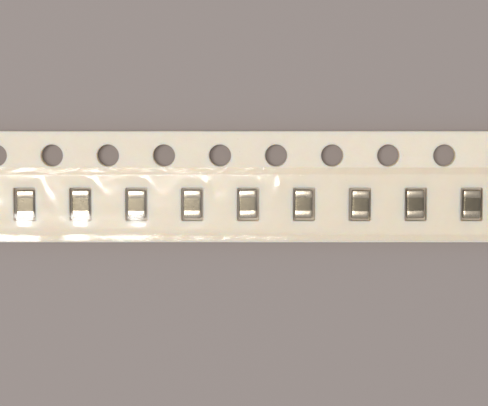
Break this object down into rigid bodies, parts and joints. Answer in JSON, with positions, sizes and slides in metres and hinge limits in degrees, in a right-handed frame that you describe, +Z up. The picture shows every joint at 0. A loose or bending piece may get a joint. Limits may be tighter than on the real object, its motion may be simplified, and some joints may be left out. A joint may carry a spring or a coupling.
{
  "type": "component carrier tape strip",
  "caption": "Cut strip of punched paper carrier tape with small chip capacitors in its pockets, under a clear sealed cover tape.",
  "frame": {"origin": "middle of the strip's length and width, on the surface that the bottom tape lies on", "axes": "+X along the tape, +Y across it towards the sprocket holes, +Z up through the clear cover tape"},
  "size_m": [0.044, 0.008, 0.0011],
  "materials": {
    "carrier_paper": "matte",
    "bottom_tape_paper": "matte",
    "clear_film": "gloss",
    "chip_ceramic": "satin",
    "tin_plating": "satin"
  },
  "bodies": {
    "root": {"carrier_tape": "carrier_paper", "bottom_tape": "bottom_tape_paper", "cover_tape": "clear_film", "chip_01_ceramic": "chip_ceramic", "chip_01_cap_hole_side": "tin_plating", "chip_01_cap_edge_side": "tin_plating", "chip_02_ceramic": "chip_ceramic", "chip_02_cap_hole_side": "tin_plating", "chip_02_cap_edge_side": "tin_plating", "chip_03_ceramic": "chip_ceramic", "chip_03_cap_hole_side": "tin_plating", "chip_03_cap_edge_side": "tin_plating", "chip_04_ceramic": "chip_ceramic", "chip_04_cap_hole_side": "tin_plating", "chip_04_cap_edge_side": "tin_plating", "chip_05_ceramic": "chip_ceramic", "chip_05_cap_hole_side": "tin_plating", "chip_05_cap_edge_side": "tin_plating", "chip_06_ceramic": "chip_ceramic", "chip_06_cap_hole_side": "tin_plating", "chip_06_cap_edge_side": "tin_plating", "chip_07_ceramic": "chip_ceramic", "chip_07_cap_hole_side": "tin_plating", "chip_07_cap_edge_side": "tin_plating", "chip_08_ceramic": "chip_ceramic", "chip_08_cap_hole_side": "tin_plating", "chip_08_cap_edge_side": "tin_plating", "chip_09_ceramic": "chip_ceramic", "chip_09_cap_hole_side": "tin_plating", "chip_09_cap_edge_side": "tin_plating", "chip_10_ceramic": "chip_ceramic", "chip_10_cap_hole_side": "tin_plating", "chip_10_cap_edge_side": "tin_plating", "chip_11_ceramic": "chip_ceramic", "chip_11_cap_hole_side": "tin_plating", "chip_11_cap_edge_side": "tin_plating"}
  },
  "joints": []
}
